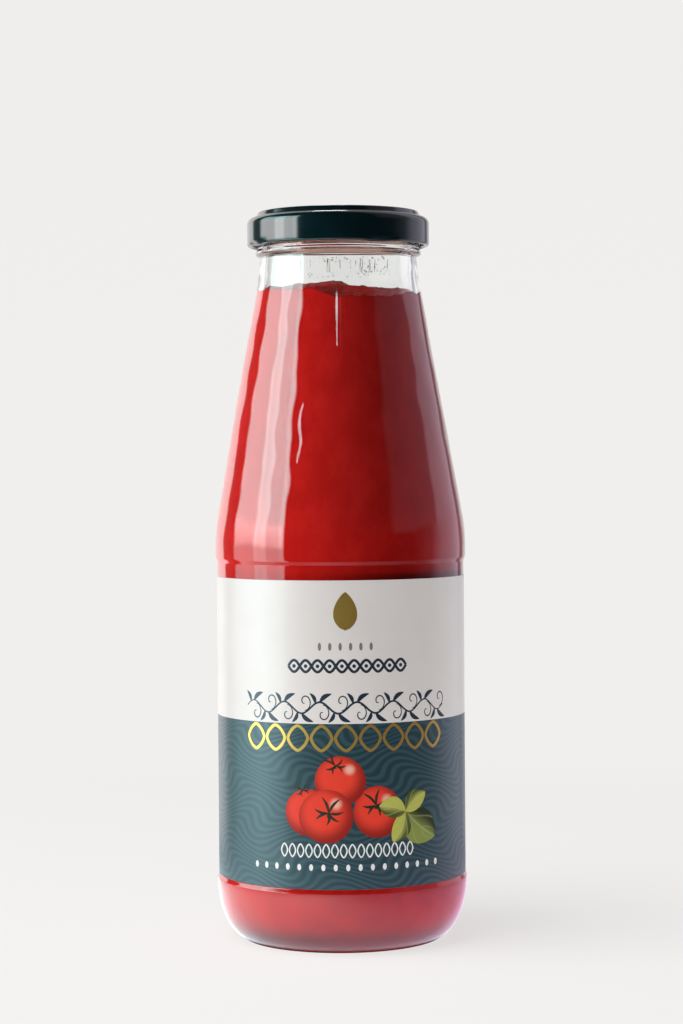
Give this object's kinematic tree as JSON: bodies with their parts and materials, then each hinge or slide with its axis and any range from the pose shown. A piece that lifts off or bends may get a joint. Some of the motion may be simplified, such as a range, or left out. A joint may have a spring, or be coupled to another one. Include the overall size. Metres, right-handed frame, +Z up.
{
  "type": "passata bottle",
  "caption": "Tapered glass bottle of tomato passata with a wrap-around paper label and a pressed steel twist-off lid.",
  "frame": {"origin": "centre of the standing ring, on the surface that the bottle stands on", "axes": "+Z up along the bottle's axis; the label's front faces -Y"},
  "size_m": [0.0778, 0.0778, 0.2254],
  "materials": {
    "glass": "clear flint glass",
    "passata": "thick wet tomato sauce",
    "label_paper": "coated paper, white above and teal below",
    "sealing_compound": "soft moulded sealing ring",
    "lacquered_steel": "glossy dark teal lacquer"
  },
  "bodies": {
    "root": {"bottle": "glass", "passata": "passata", "label": "label_paper", "gasket": "sealing_compound", "lid": "lacquered_steel"}
  },
  "joints": []
}
